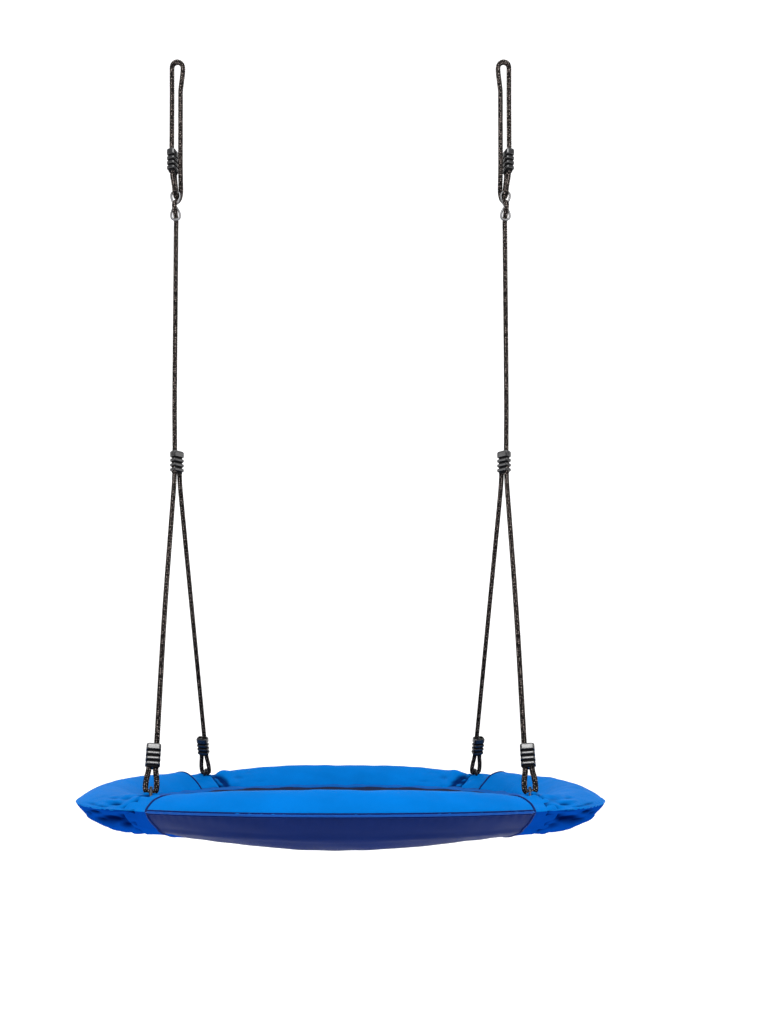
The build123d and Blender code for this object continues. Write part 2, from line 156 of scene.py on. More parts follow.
def node(made, kind, **settings):
    """A new node. A setting goes to the input of that name, and otherwise to the node's own property."""
    found = made.node_tree.nodes.new(kind)
    for key, value in settings.items():
        socket = key.replace("_", " ")
        if socket in found.inputs:
            put(made, found.inputs[socket], value)
        else:
            setattr(found, key, value)
    return found


def compute(made, operation, *values):
    """The result of a Math node, from outputs and numbers."""
    found = node(made, "ShaderNodeMath", operation=operation)
    for into, value in zip(found.inputs, values):
        put(made, into, value)
    return found.outputs[0]


def coordinates(made, kind, scale=(1, 1, 1)):
    """UV or Object coordinates, scaled."""
    source = node(made, "ShaderNodeTexCoord").outputs[kind]
    return node(made, "ShaderNodeMapping", Vector=source, Scale=scale).outputs["Vector"]


def noise(made, place, scale, detail, roughness=0.5):
    found = node(made, "ShaderNodeTexNoise", Vector=place, Scale=scale, Detail=detail, Roughness=roughness)
    return found.outputs["Fac"]


def ramp(made, value, stops):
    """A colour for a value, through stops of place and colour."""
    found = node(made, "ShaderNodeValToRGB", Fac=value)
    elements = found.color_ramp.elements
    while len(elements) < len(stops):
        elements.new(0.5)
    for element, (place, colour) in zip(elements, stops):
        element.position = place
        element.color = (*colour, 1)
    return found.outputs["Color"]


def multiplied(made, first, second, factor=1.0):
    """Two colours multiplied, to the share that factor says."""
    found = node(made, "ShaderNodeMix", data_type="RGBA", blend_type="MULTIPLY", Factor=factor, A=first, B=second)
    return found.outputs["Result"]


def spread_over(made, value, low, high, **source_range):
    """A value from 0 to 1, or from its source range, spread from low to high."""
    return node(made, "ShaderNodeMapRange", Value=value, To_Min=low, To_Max=high, **source_range).outputs["Result"]


def bumps(made, height, strength, distance):
    return node(made, "ShaderNodeBump", Height=height, Strength=strength, Distance=distance).outputs["Normal"]


def shade(colour, factor):
    return tuple(min(1.0, channel * factor) for channel in colour)


def woven(name, colour, thread=0.0011, weave=0.35, roughness=0.5, gloss=0.05, wear=0.1):
    """Coated woven cloth: crossing threads, broad uneven dye, rubbed high spots, and painted shade that darkens the
    colour in fold pockets and beside the rope slots. UV is in metres."""
    made = new_material(name, colour, roughness, Specular_IOR_Level=gloss)
    place = coordinates(made, "UV")
    waves = [node(made, "ShaderNodeTexWave", bands_direction=direction, Vector=place, Scale=0.314 / thread,
                  Distortion=0.6, Detail=1.0).outputs["Fac"] for direction in ("X", "Y")]
    cross = compute(made, "MAXIMUM", *waves)
    patches = noise(made, coordinates(made, "Object"), 9.0, 5.0, 0.6)
    painted_fold_shade = node(made, "ShaderNodeAttribute", attribute_name="painted_fold_shade").outputs["Fac"]
    tint = ramp(made, patches, [(0.3, shade(colour, 1 - wear)), (0.7, shade(colour, 1 + wear))])
    gaps = ramp(made, cross, [(0.35, (0.72, 0.72, 0.72)), (0.8, (1, 1, 1))])
    # painted shade: the cloth's colour darkens towards deep navy in fold pockets and beside the rope slots
    painted_crease_shade = ramp(made, painted_fold_shade, [(0.0, (1, 1, 1)), (1.0, (0.1, 0.13, 0.22))])
    height = compute(made, "MULTIPLY_ADD", noise(made, place, 420.0, 2.0), 0.35, cross)
    dress(made, Base_Color=multiplied(made, multiplied(made, tint, gaps, 0.5), painted_crease_shade),
          Roughness=spread_over(made, patches, roughness - 0.08, roughness + 0.1),
          Normal=bumps(made, height, weave, 0.0004))
    return made


def yarn(name, dark, light):
    """Braided polyester: dark carriers one way, speckled pale ones the other way, in a diamond check, with painted
    shade where the pale ones dip into the braid's grooves. UV runs once round the rope, and along it in turns of its
    girth."""
    made = new_material(name, dark, 0.8, Specular_IOR_Level=0.08)
    place = coordinates(made, "UV", (CARRIERS, CARRIERS / BRAID_PITCH * ROPE_GIRTH, 1))
    parts = node(made, "ShaderNodeSeparateXYZ", Vector=place).outputs
    lanes = [compute(made, operation, parts["X"], parts["Y"]) for operation in ("ADD", "SUBTRACT")]
    lanes = [compute(made, "ADD", lane, 1000.0) for lane in lanes]       # a check needs them above zero
    lanes = node(made, "ShaderNodeCombineXYZ", X=lanes[0], Y=lanes[1]).outputs["Vector"]
    check = node(made, "ShaderNodeTexChecker", Vector=lanes, Scale=1.0, Color1=(1, 1, 1, 1), Color2=(0, 0, 0, 1))
    relief = node(made, "ShaderNodeAttribute", attribute_name="braid_relief_shade").outputs["Fac"]
    specks = ramp(made, noise(made, coordinates(made, "UV", (9, 9, 1)), 1.0, 2.0, 0.6),
                  [(0.42, (0.12, 0.12, 0.12)), (0.58, (1, 1, 1))])
    # painted shade: the pale carriers fade to the dark colour where the braid's relief dips into its grooves
    pale = compute(made, "MULTIPLY", specks, compute(made, "MULTIPLY", check.outputs["Fac"], relief))
    fibres = noise(made, coordinates(made, "UV", (30, 60, 1)), 1.0, 2.0)
    dress(made, Base_Color=ramp(made, pale, [(0.35, dark), (0.85, light)]), Normal=bumps(made, fibres, 0.5, 0.0003))
    return made


def moulded(name, colour, roughness=0.22, gloss=0.6, coat=0.2):
    """Glossy moulded plastic with a faint orange peel and handling marks."""
    made = new_material(name, colour, roughness, Specular_IOR_Level=gloss, Coat_Weight=coat, Coat_Roughness=0.15)
    place = coordinates(made, "Object")
    marks = noise(made, place, 160.0, 6.0, 0.7)
    peel = noise(made, place, 900.0, 1.0)
    dress(made, Base_Color=ramp(made, marks, [(0.3, colour), (0.9, shade(colour, 1.7))]),
          Roughness=spread_over(made, marks, roughness - 0.06, roughness + 0.2, From_Min=0.35, From_Max=0.75),
          Normal=bumps(made, peel, 0.12, 0.0002))
    return made


def plated(name, colour, roughness, scale=120.0):
    """Zinc-plated steel with cloudy plating and small scratches."""
    made = new_material(name, colour, roughness, Metallic=1.0)
    cloud = noise(made, coordinates(made, "Object"), scale, 6.0, 0.65)
    dress(made, Base_Color=ramp(made, cloud, [(0.3, shade(colour, 0.7)), (0.7, shade(colour, 1.15))]),
          Roughness=spread_over(made, cloud, roughness - 0.1, roughness + 0.25))
    return made


MATERIALS = {
    "blue": woven("blue_cover", (0.0005, 0.138, 0.49), gloss=0.005),
    # painted shade: the blue cover darkened, for the undersides of the side pads and the straps
    "deep": woven("blue_cover_painted_shade", (0.0008, 0.044, 0.29), gloss=0.0),
    "navy": woven("navy_cover", (0.0018, 0.012, 0.088)),
    "piping": woven("seam_binding", (0.006, 0.065, 0.32), thread=0.0008, weave=0.5),
    # dark navy cord for the flaps' bound edges, which also paint shadow there, and for the seam's painted shadow lines
    "binding": woven("hem_binding", (0.001, 0.012, 0.10), thread=0.0008, weave=0.5),
    "mat": woven("mat_cloth", (0.0035, 0.009, 0.04), thread=0.0022, weave=0.6, roughness=0.75),
    "webbing": woven("mat_webbing", (0.001, 0.085, 0.36), thread=0.0016, weave=0.6, roughness=0.7),
    "rope": yarn("rope_braid", (0.0025, 0.002, 0.002), (0.40, 0.33, 0.30)),
    "plastic": moulded("clamp_plastic", (0.008, 0.008, 0.009)),
    # painted shade: a darker, duller copy of the clamp plastic for the grooves between its ribs
    "groove_shade": moulded("clamp_groove_painted_shade", (0.0015, 0.0015, 0.002), roughness=0.7, gloss=0.1, coat=0.0),
    "wire": plated("ring_wire", (0.16, 0.16, 0.165), roughness=0.35),
    "tube": plated("ring_tube", (0.20, 0.205, 0.21), roughness=0.45, scale=60.0),
    # painted shade: the staples' plated steel darkened well below the ring tube's, where they sit inside the rope eyes
    "staple": plated("staple_wire_shaded", (0.05, 0.05, 0.055), roughness=0.35),
    "screw": plated("screw_head", (0.33, 0.33, 0.34), roughness=0.35, scale=300.0),
}


# ---------------------------------------------------------------- meshes

def mesh_piece(name, points, faces, materials, uv=None, marks=None):
    """A smooth-shaded piece. uv holds one pair per vertex, marks one material number per face."""
    mesh = bpy.data.meshes.new(name)
    mesh.from_pydata([tuple(p) for p in points], [], [tuple(f) for f in faces])
    mesh.update()
    for made in materials:
        mesh.materials.append(MATERIALS[made])
    mesh.polygons.foreach_set("use_smooth", [True] * len(mesh.polygons))
    if marks is not None:
        mesh.polygons.foreach_set("material_index", list(marks))
    if uv is not None:
        layer = mesh.uv_layers.new(name="UVMap")
        corner_points = np.zeros(len(mesh.loops), int)
        mesh.loops.foreach_get("vertex_index", corner_points)
        layer.data.foreach_set("uv", np.asarray(uv, np.float32)[corner_points].ravel())
    piece = bpy.data.objects.new(name, mesh)
    bpy.context.scene.collection.objects.link(piece)
    return piece


def grid_faces(rows, columns, closed_rows=False, closed_columns=True):
    """Quads between rows of points, as index quadruples."""
    faces = []
    for i in range(rows if closed_rows else rows - 1):
        for j in range(columns if closed_columns else columns - 1):
            a, b = i * columns + j, i * columns + (j + 1) % columns
            c, d = (i + 1) % rows * columns + (j + 1) % columns, (i + 1) % rows * columns + j
            faces.append((a, b, c, d))
    return faces


def spline_points(points, resolution=24):
    """Points read from the route's smooth spline."""
    curve = bpy.data.curves.new("route", "CURVE")
    curve.dimensions = "3D"
    curve.resolution_u = resolution
    spline = curve.splines.new("NURBS")
    spline.points.add(len(points) - 1)
    for target, point in zip(spline.points, points):
        target.co = (*point, 1)
    spline.order_u = 3
    spline.use_endpoint_u = True
    holder = bpy.data.objects.new("route", curve)
    bpy.context.scene.collection.objects.link(holder)
    bpy.context.view_layer.update()
    mesh = bpy.data.meshes.new_from_object(holder.evaluated_get(bpy.context.evaluated_depsgraph_get()))
    line = np.array([tuple(v.co) for v in mesh.vertices])
    bpy.data.objects.remove(holder)
    bpy.data.curves.remove(curve)
    bpy.data.meshes.remove(mesh)
    return line


def even(line, step):
    """The same line with evenly spaced points, and how far along each is."""
    lengths = np.concatenate([[0], np.cumsum(np.linalg.norm(np.diff(line, axis=0), axis=1))])
    count = max(2, int(round(lengths[-1] / step)) + 1)
    along = np.linspace(0, lengths[-1], count)
    return np.stack([np.interp(along, lengths, line[:, k]) for k in range(3)], 1), along


def frames(line, reference):
    """Two directions across the line at each point, carried along without twist."""
    tangents = np.gradient(line, axis=0)
    tangents /= np.linalg.norm(tangents, axis=1)[:, None]
    across = np.zeros_like(line)
    current = np.array(reference, float)
    for i, tangent in enumerate(tangents):
        current = current - tangent * current.dot(tangent)
        current /= np.linalg.norm(current)
        across[i] = current
    return across, np.cross(tangents, across)


def braid_relief(turn, along):
    """Height from 0 to 1 over a diamond braid."""
    lean = along / BRAID_PITCH * CARRIERS
    first = turn * CARRIERS + lean
    second = turn * CARRIERS - lean
    over = (np.floor(first) + np.floor(second)) % 2 < 1
    across_first = np.sin(np.pi * (first % 1))
    across_second = np.sin(np.pi * (second % 1))
    return np.where(over, across_first ** 0.7 * (0.5 + 0.5 * across_second),
                    across_second ** 0.7 * (0.5 + 0.5 * across_first))


def braided_rope(name, route, start_along=0.0, around=36, step=0.0008):
    """A rope piece along a route, with its braid in relief. Returns the piece, its line and its length."""
    line, along = even(spline_points(route), step)
    across, other = frames(line, (1, 0, 0) if abs(line[1][0] - line[0][0]) < 0.7 * step else (0, 1, 0))
    turn = np.arange(around) / around
    turns, alongs = np.meshgrid(turn, along + start_along)
    relief = braid_relief(turns, alongs)
    radius = ROPE_RADIUS * (0.84 + 0.19 * relief)
    angle = 2 * np.pi * turns
    points = (line[:, None] + across[:, None] * (radius * np.cos(angle))[..., None]
              + other[:, None] * (radius * np.sin(angle))[..., None]).reshape(-1, 3)
    faces = grid_faces(len(line), around)
    for end, ring in ((0, range(around)), (len(line) - 1, range((len(line) - 1) * around, len(line) * around))):
        ring = list(ring)
        points = np.vstack([points, line[end]])
        centre = len(points) - 1
        pairs = [(ring[k], ring[(k + 1) % around], centre) for k in range(around)]
        faces += [pair[::-1] for pair in pairs] if end == 0 else pairs
    uv = np.stack([turns, alongs / ROPE_GIRTH], -1).reshape(-1, 2)
    uv = np.vstack([uv, [[0.5, 0], [0.5, 1]]])
    piece = mesh_piece(name, points, faces, ["rope"], uv)
    # the braid's relief, which the rope's colour uses to paint shade in its grooves
    layer = piece.data.attributes.new("braid_relief_shade", "FLOAT", "POINT")
    layer.data.foreach_set("value", np.append(relief, [0, 0]).astype(np.float32))
    return piece, line, float(along[-1])


def on_side(side, points):
    """Points in millimetres as they are on the right, on either side and in metres."""
    return [(side * x * MM, y * MM, z * MM) for x, y, z in points]


# ---------------------------------------------------------------- the ropes

# All in millimetres. x is the distance out from the middle, the same on both sides.
JUNCTION_X = 305.4
JUNCTION_TURN = math.radians(43)     # of the junction clamp's broad side, away from x
JUNCTION_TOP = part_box("left_junction_clamp_shell_a")[1].z / MM
JUNCTION_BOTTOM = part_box("left_junction_clamp_shell_a")[0].z / MM
LOOP_CLAMP = (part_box("left_loop_clamp_shell_a")[0].z / MM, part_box("left_loop_clamp_shell_a")[1].z / MM)
NEAR_STRAND = (314.2, -4.5)          # the two ropes that a loop clamp holds, x and y
FAR_STRAND = (311.3, 4.55)
RING_X = 308.0
EYE_HALF_WIDTH = 8.3                 # of a leg's eye, to the rope's middle
EYE_BOTTOM = 32.8                    # up the leg from the ring tube's middle, as the clamps' lower ends are
CLAMP_BOTTOMS = {-1: 74.0, 1: 77.0}  # of the front and back legs
EYE_TURN = 15                        # degrees that an eye's broad side is turned away from x
CLAMP_LENGTH = 42.0


def junction_lobe(sign):
    """Where one of a junction clamp's two ropes enters it, in millimetres."""
    shift = LOBE / MM * sign
    return JUNCTION_X + shift * math.cos(JUNCTION_TURN), -shift * math.sin(JUNCTION_TURN)


class Leg:
    """One leg's own frame, in millimetres: its hang point, the line up it, and its two rope lanes."""

    def __init__(self, side, end):
        slot = math.radians(FRONT_SLOT if end < 0 else BACK_SLOT)
        lobe_x, lobe_y = junction_lobe(-end)
        turn = math.radians(EYE_TURN)
        self.bend = Vector((side * lobe_x, lobe_y, 640))
        self.hang = Vector((side * math.sin(slot), -math.cos(slot), 0)) * (PATH_RADIUS / MM)
        self.hang += Vector((0, 0, TUBE_Z / MM))
        self.clamp_bottom = CLAMP_BOTTOMS[end]
        across = Vector((side * math.cos(turn), end * math.sin(turn), 0))
        up = (self.bend - self.hang).normalized()
        across = (across - up * across.dot(up)).normalized()
        self.up = (self.bend + across * LOBE / MM - self.hang).normalized()
        self.across = (across - self.up * across.dot(self.up)).normalized()

    def at(self, sideways, height):
        """A point beside the leg's line and up it."""
        return self.hang + self.across * sideways + self.up * height

    def eye(self):
        """Control points down one side of the teardrop eye and up the other."""
        half = [(LOBE / MM, self.clamp_bottom - 2), (EYE_HALF_WIDTH - 0.6, EYE_BOTTOM + 26),
                (EYE_HALF_WIDTH + 0.7, EYE_BOTTOM + 9), (EYE_HALF_WIDTH - 1.2, EYE_BOTTOM)]
        near = [self.at(-sideways, height) for sideways, height in half]
        return near + [self.at(*place) for place in reversed(half)]


def hang_ropes(name, side):
    """One side's ropes above the seat: the loop, its outer and inner strands, and the main rope through the ring."""
    top_loop = [(298.7, 0, 1362), (296.6, 0, 1380), (294.3, 0, 1397), (294.2, 0, 1409.2), (298.1, 0, 1414.6),
                (304.4, 0, 1416.6), (310.7, 0, 1414.6), (314.6, 0, 1409.2), (314.6, 0, 1397), (314.6, 0, 1380),
                (314.5, 0, 1362)]
    piece, line, length = braided_rope(f"{name}_hanging_loop", on_side(side, top_loop))
    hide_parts(f"{name}_top_loop")
    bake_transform(piece)

    near_x, near_y = NEAR_STRAND
    outer = [(314.5, 0, 1362), (314.3, -2.2, 1310), (near_x, near_y, LOOP_CLAMP[1] + 6),
             (near_x, near_y, LOOP_CLAMP[1] - 4)]
    piece, line, length = braided_rope(f"{name}_outer_rope", on_side(side, outer), length)
    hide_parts(f"{name}_outer_strand")
    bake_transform(piece)

    inner = [(298.7, 0, 1362), (298.5, -1.4, 1300), (298.4, -3.0, 1240), (298.4, -3.2, 1214), (298.8, 4.6, 1181)]
    piece, line, length = braided_rope(f"{name}_inner_rope", on_side(side, inner))
    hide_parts(f"{name}_inner_strand")
    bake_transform(piece)

    x, y = junction_lobe(1)
    main = [(298.8, 4.6, 1181), (299.6, 7.4, 1170), (304.5, 7.0, 1160), (310.0, -7.0, 1150), (308.5, -5.0, 1139),
            (307.8, 7.0, 1125), (307.8, 4.0, 1104), (307.9, 2.6, 1050), (309.6, -2.6, 770),
            (x, y, JUNCTION_TOP + 25), (x, y, JUNCTION_TOP - 3)]
    piece, line, length = braided_rope(f"{name}_rope", on_side(side, main), length)
    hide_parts(f"{name}_main_rope")
    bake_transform(piece)


def ring_eye(name, side):
    """The small eye under the outer strand, which holds the height ring."""
    reach = 6.7                          # half the eye's width
    far_x, far_y = FAR_STRAND
    near_x, near_y = NEAR_STRAND
    route = [(near_x, near_y, LOOP_CLAMP[1] - 6), (near_x, near_y, LOOP_CLAMP[0] - 2), (RING_X + 1, -reach, 1180),
             (RING_X, -reach - 0.6, 1166.5), (RING_X, reach + 0.6, 1166.5), (RING_X, reach, 1180),
             (far_x, far_y, LOOP_CLAMP[0] - 2), (far_x, far_y, LOOP_CLAMP[1] - 6)]
    piece, line, length = braided_rope(f"{name}_adjuster_eye", on_side(side, route))
    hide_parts(f"{name}_ring_eye")
    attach(piece, "height_adjusters")


def leg_rope(name, side, end):
    """One leg from its junction clamp down round its eye. end is -1 at the front and 1 at the back."""
    leg = Leg(side, end)
    top = (leg.bend.x, leg.bend.y, JUNCTION_TOP - (4 if end < 0 else 6))
    eye = leg.eye()
    bow = Vector((0, 0, 0)) if end > 0 else Vector((side * 2.5, 0, 0))
    down = eye[0] - leg.bend
    stations = [leg.bend + down * share + bow * weight for share, weight in ((0.1, 0.3), (0.5, 1.0), (0.88, 0.2))]
    finish = leg.at(LOBE / MM, leg.clamp_bottom + CLAMP_LENGTH - 6)
    route = [top, leg.bend + Vector((0, 0, 4)), *stations, *eye, finish]
    word = "front" if end < 0 else "back"
    piece, line, length = braided_rope(f"{name}_{word}_leg", [tuple(Vector(p) * MM) for p in route])
    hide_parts(f"{name}_{word}_leg_rope")
    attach(piece, "seat")


# ---------------------------------------------------------------- clamps and height rings

# A clamp's outside, in millimetres from its lower end and from its middle
RIBS, RIB_WIDTH = (6.75, 15.55, 24.35), 5.0
HEAD, HEAD_WIDTH = 38.0, 15.0
RIB_DEPTH = 2.3
CORE_HALF_WIDTH, CORE_HALF_DEPTH = 9.6, 5.8
CORNER = 4.2
RIB_EDGE = 2.65                      # from a rib's middle to its rounded edge
FOOT_HEIGHT, SHOULDER_START = 1.2, 38.6
BORE, PARTING = 4.6, 0.08            # a rope groove's radius, and half the gap between the two halves
# Faces of a clamp that stand out less than GROOVE_SWELL get the darker plastic, which paints shade in its grooves
GROOVE_SWELL = 1.2                   # what stands out less than this is groove, and is darker


def bell(x, centre, width, edge):
    """1 inside a rib and 0 outside it, with rounded edges."""
    return 1 / (1 + np.exp((np.abs(x - centre) - width / 2) / edge))


def rounding(depth, past, radius):
    """How far a rounded end has drawn in, at a distance past where it starts to."""
    return depth * (1 - np.sqrt(np.clip(1 - np.clip(past / radius, 0, 1) ** 2, 0, 1)))


def clamp_swell(height):
    """How far a clamp stands out past its core, in millimetres, at a height from its lower end."""
    swell = np.zeros_like(height)
    for centre, width in (*((rib, RIB_WIDTH) for rib in RIBS), (HEAD, HEAD_WIDTH)):
        swell = np.maximum(swell, RIB_DEPTH * bell(height, centre, width, 0.2))
    return swell - rounding(3.4, height - SHOULDER_START, 3.5) - rounding(1.0, FOOT_HEIGHT - height, 1.3)


def clamp_heights():
    """Rows up a clamp, in millimetres: closer at its ends and at each rib's edges."""
    fine = np.linspace(-0.6, 0.6, 7)
    edges = [rib + side * RIB_EDGE for rib in RIBS for side in (-1, 1)] + [HEAD - HEAD_WIDTH / 2]
    return np.unique(np.concatenate([np.linspace(0, CLAMP_LENGTH, 43), np.linspace(0, FOOT_HEIGHT, 4),
                                     np.linspace(SHOULDER_START, CLAMP_LENGTH, 10)] + [edge + fine for edge in edges]))


def clamp_shell(name, origin, x_axis, z_axis, sign, body, cad_node):
    """Half of a clamp: ribbed outside with rounded corners, a parting face, and two rope grooves inside."""
    x_axis, z_axis = Vector(x_axis).normalized(), Vector(z_axis).normalized()
    y_axis = z_axis.cross(x_axis)
    lobe = LOBE / MM
    heights = clamp_heights()
    share = np.linspace(0, 1, 56)
    reach = np.cos(np.pi * share)
    rows = []
    for height, swell in zip(heights, clamp_swell(heights)):
        half_width, half_depth = CORE_HALF_WIDTH + swell, CORE_HALF_DEPTH + swell
        outer_x = half_width * np.sign(reach) * np.abs(reach) ** 0.8
        past = np.clip(np.abs(outer_x) - (half_width - CORNER), 0, CORNER)
        outer_y = half_depth - CORNER + np.sqrt(np.clip(CORNER ** 2 - past ** 2, 0, None))
        outer_y = outer_y * np.clip((half_width - np.abs(outer_x)) / 0.4, 0, 1) ** 0.5 + PARTING
        inner_x = min(half_width - 0.5, lobe + BORE) * reach
        inner_y = np.sqrt(np.clip(BORE ** 2 - (np.abs(inner_x) - lobe) ** 2, 0, None)) + PARTING
        rows += [(x, y, height) for x, y in zip(outer_x, outer_y)]
        rows += [(x, y, height) for x, y in zip(inner_x[::-1], np.minimum(inner_y, outer_y)[::-1])]
    columns = 2 * len(share)
    faces = grid_faces(len(heights), columns)
    between = clamp_swell((heights[:-1] + heights[1:]) / 2)
    # one material number per face: 1 for the groove faces, which take the painted-shade plastic
    marks = [int(swell < GROOVE_SWELL) for swell in between for _ in range(columns)] + [0] * (columns - 2)
    last = (len(heights) - 1) * columns
    for j in range(len(share) - 1):
        quad = (j, columns - 1 - j, columns - 2 - j, j + 1)
        faces += [quad, tuple(last + k for k in quad[::-1])]
    points = [(Vector(origin) + x_axis * x * MM + y_axis * (sign * y * MM) + z_axis * z * MM) for x, y, z in rows]
    if sign > 0:
        faces = [face[::-1] for face in faces]
    piece = mesh_piece(name, points, faces, ["plastic", "groove_shade"], marks=marks)
    piece.data.set_sharp_from_angle(angle=math.radians(40))
    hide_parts(cad_node)
    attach(piece, body)


def clamp(name, origin, x_axis, z_axis, body):
    """Both halves of a clamp, whose lower end is at origin and whose ropes lie along z_axis."""
    for label, sign in (("a", 1), ("b", -1)):
        clamp_shell(f"{name}_half_{label}", origin, x_axis, z_axis, sign, body, f"{name}_shell_{label}")


def side_clamps(name, side):
    """One side's four clamps: on the loop's eye, at the junction, and on the front and back legs."""
    near = Vector((side * NEAR_STRAND[0], NEAR_STRAND[1], LOOP_CLAMP[0])) * MM
    far = Vector((side * FAR_STRAND[0], FAR_STRAND[1], LOOP_CLAMP[0])) * MM
    clamp(f"{name}_loop_clamp", (near + far) / 2, near - far, (0, 0, 1), "height_adjusters")
    x, y = junction_lobe(1)
    centre = Vector((side * JUNCTION_X, 0, JUNCTION_BOTTOM)) * MM
    clamp(f"{name}_junction_clamp", centre, Vector((side * x, y, JUNCTION_BOTTOM)) * MM - centre, (0, 0, 1), "seat")
    for word, end in (("front", -1), ("back", 1)):
        leg = Leg(side, end)
        clamp(f"{name}_{word}_leg_clamp", leg.at(0, leg.clamp_bottom) * MM, leg.across, leg.up, "seat")


def closed_tangents(line):
    """The direction along a closed line at each of its points."""
    tangents = np.roll(line, -1, 0) - np.roll(line, 1, 0)
    return tangents / np.linalg.norm(tangents, axis=1)[:, None]


def closed_tube(line, radius, across, other, angle):
    """Points of a tube round a closed line, ring by ring, from two directions across it at each point."""
    return (line[:, None] + radius * (across[:, None] * np.cos(angle)[None, :, None]
            + other[:, None] * np.sin(angle)[None, :, None])).reshape(-1, 3)


def height_ring(name, side):
    """Wire bent into a figure of eight that crosses at its waist."""
    low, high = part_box(f"{name}_height_ring")
    wire = 0.002                         # its radius
    middle, reach = (low.z + high.z) / 2, (high.z - low.z) / 2 - wire
    half_width = (high.x - low.x) / 2 - 1.7 * wire
    turn = np.linspace(0, 2 * math.pi, 160, endpoint=False)
    line = np.stack([
        side * RING_X * MM + half_width * np.sin(2 * turn) * (1 - 0.12 * np.abs(np.sin(2 * turn)) ** 3) / 0.88,
        -0.0021 * np.sin(turn) * (1 - np.abs(np.cos(turn))),
        middle + reach * np.cos(turn),
    ], 1)
    tangents = closed_tangents(line)
    across = np.cross(tangents, (0, 1, 0))
    across /= np.linalg.norm(across, axis=1)[:, None]
    angle = np.linspace(0, 2 * math.pi, 16, endpoint=False)
    points = closed_tube(line, wire, across, np.cross(tangents, across), angle)
    faces = [face[::-1] for face in grid_faces(len(line), len(angle), closed_rows=True)]
    piece = mesh_piece(f"{name}_figure_eight", points, faces, ["wire"])
    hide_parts(f"{name}_height_ring")
    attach(piece, "height_adjusters")


# ---------------------------------------------------------------- the padded rim

def hash_wave(values, seed, count=5, low=1.0, high=6.0):
    """A smooth uneven wave of a value, the sum of a few sines of fixed random phases."""
    random = np.random.default_rng(seed)
    total = np.zeros_like(values)
    for _ in range(count):
        total += np.sin(values * random.uniform(low, high) + random.uniform(0, 2 * math.pi))
    return total / count


def near(gap, reach):
    """1 beside a place and 0 well past reach from it."""
    return math.exp(-(gap / reach) ** 2)


def within_one(value):
    """A value held between 0 and 1."""
    return min(1.0, max(0.0, value))


def pad_shape(kind, gap, slot_gap, forward):
    """How far a pad's crown sinks and its underside lifts, in metres, at a distance from its nearer end and from its
    nearer rope slot. forward is its share of the way to the front, from 0 to 1."""
    if kind == "front":
        return 0.0160 * math.exp(-gap / 0.085) - 0.0050, 0.0115 * near(gap, 0.165)
    if kind == "back":
        return 0.0120 * near(gap, 0.120), 0.0090 * near(gap, 0.150)
    if kind == "strap":
        return 0.0085 + 0.0040 * within_one((slot_gap - 0.020) / 0.035), 0.0080
    slump = 0.0085 * forward * (1 - math.exp(-gap / 0.030))
    return 0.0085 + slump - 0.0025 * near(gap, 0.03), 0.0055 + 0.003 * near(gap, 0.06)


def rim_points(degrees, inset, sink, lift):
    """Points of the rim's lens-shaped section, radius and height in metres, each at its own angle from the front.
    inset is how far they are drawn in towards the ring tube."""
    turn = np.radians(degrees)
    reach = np.cos(2 * np.pi * AROUND)
    seam_z = SEAM_Z + SEAM_SWAY * np.cos(2 * turn)
    chord = INNER_SEAM_Z + (seam_z - INNER_SEAM_Z) * (reach + 1) / 2
    bow = np.clip(np.cos(np.pi / 2 * reach), 0, 1)
    middle_z = 0.5 * (INNER_SEAM_Z + seam_z)
    top = chord + (TOP_Z - sink - middle_z) * bow ** CROWN_ROUND
    under = chord - (middle_z - lift) * bow ** np.where(reach > 0, *UNDER_ROUND)
    height = np.where(np.sin(2 * np.pi * AROUND) >= 0, top, under)
    crease = np.exp(-((height - CREASE_Z) / CREASE_WIDTH) ** 2) * (reach > 0.2) * (AROUND > 0.5)
    radius = PATH_RADIUS + HALF_WIDTH * reach + CREASE_DEPTH * crease
    spread = np.stack([radius, height], 1) - TUBE_CENTRE
    length = np.linalg.norm(spread, axis=1)[:, None]
    return TUBE_CENTRE + spread * (1 - inset / np.maximum(length, 1e-6))


def section_swell(kind, distance, gaps, styles, seed):
    """How far each point of a section stands out from its plain shape, in metres: broad unevenness, puckers at the
    seams, and beside a rope slot the pleats, folds and dents of the gather."""
    swell = BROAD_SWELL * hash_wave(AROUND * 2 * math.pi * 2 + distance * 9, seed) \
        + BAND_SWELL * hash_wave(np.full(SLEEVE_COLUMNS, distance * 26.0), seed + 1) * np.sin(2 * np.pi * AROUND)
    seams = np.abs(np.cos(2 * np.pi * AROUND)) ** 14
    swell = swell + PUCKER * seams * math.sin(distance * 420 + 2 * math.sin(distance * 37 + seed))
    for gap, style, salt in zip(gaps, styles, (3, 5)):
        if style == "gather":
            pleats = hash_wave(AROUND * 2 * math.pi, seed + salt, 4, 8, 15)
            swell = swell + PLEAT_DEPTH * math.exp(-gap / PLEAT_FADE) * np.where(pleats > 0, pleats, 1.6 * pleats)
            folds = hash_wave(AROUND * 2 * math.pi + gap * 22, seed + salt + 9, 3, 4, 9)
            swell = swell + FOLD_DEPTH * math.exp(-gap / FOLD_FADE) * folds
    for gap, style in zip(gaps, styles):
        if style == "gather" and kind != "strap":
            for place, turn, size, spread, depth in BACK_SLOT_DENTS if kind == "back" else SLOT_DENTS:
                off = (AROUND - turn + 0.5) % 1 - 0.5
                swell = swell + depth * near(gap - place, size) * np.exp(-(off / spread) ** 2)
    return swell


def drawn_in(section, share):
    """A section's points, drawn in to the ring tube by a share of their distance from it."""
    return TUBE_CENTRE + (section - TUBE_CENTRE) * (1 - share)


